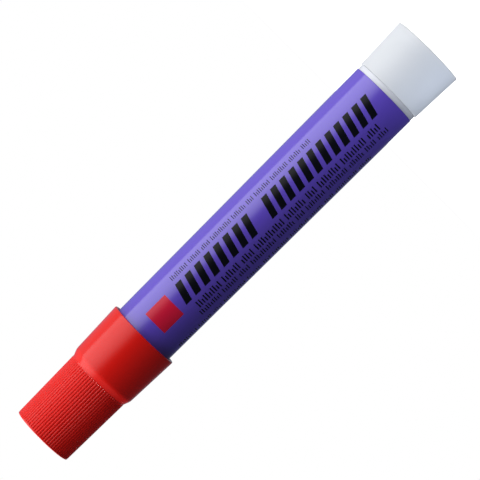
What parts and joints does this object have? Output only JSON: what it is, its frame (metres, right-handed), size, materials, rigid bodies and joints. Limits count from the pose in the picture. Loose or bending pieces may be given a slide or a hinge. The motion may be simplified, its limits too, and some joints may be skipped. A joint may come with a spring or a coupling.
{
  "type": "solid paint marker",
  "caption": "Twist-up solid paint marker: tapered round barrel with a printed wrap, ribbed pull-off cap and a tail knob whose screw feeds a stick of solid paint.",
  "frame": {"origin": "middle of the flat tail face of the knob, where the marker stands", "axes": "+Z along the marker's axis from the tail to the cap, +X through a barrel keyway, the printed front faces -Y"},
  "size_m": [0.0198, 0.0198, 0.1345],
  "materials": {
    "barrel_plastic": "satin moulded, white",
    "label_print": "violet printed film, semi-gloss",
    "inner_plastic": "moulded, natural white",
    "knob_plastic": "satin moulded, cool white",
    "seal_rubber": "black nitrile",
    "solid_paint": "waxy solid paint, red",
    "cap_plastic": "glossy moulded, red",
    "liner_foam": "soft closed-cell foam, white"
  },
  "bodies": {
    "barrel_body": {"barrel": "barrel_plastic", "label_film": "label_print", "rear_bush": "inner_plastic"},
    "knob_body": {"twist_knob": "knob_plastic", "lead_screw": "inner_plastic", "spindle_seal": "seal_rubber"},
    "paint_body": {"stick_carrier": "inner_plastic", "paint_stick": "solid_paint"},
    "cap_body": {"cap_shell": "cap_plastic", "cap_liner": "liner_foam"}
  },
  "joints": [
    {"name": "knob_twist", "type": "hinge", "parent": "barrel_body", "child": "knob_body", "pos_m": [0, 0, 0], "axis": [0, 0, 1], "range_deg": [-1010, 362]},
    {"name": "paint_feed", "type": "slide", "parent": "barrel_body", "child": "paint_body", "axis": [0, 0, 1], "range_m": [-0.014, 0.005]},
    {"name": "cap_pull", "type": "slide", "parent": "barrel_body", "child": "cap_body", "axis": [0, 0, 1], "range_m": [0, 0.045]}
  ],
  "couplings": [
    {"joint": "knob_twist", "follows": "paint_feed", "rad_per_m": 1256.6}
  ]
}
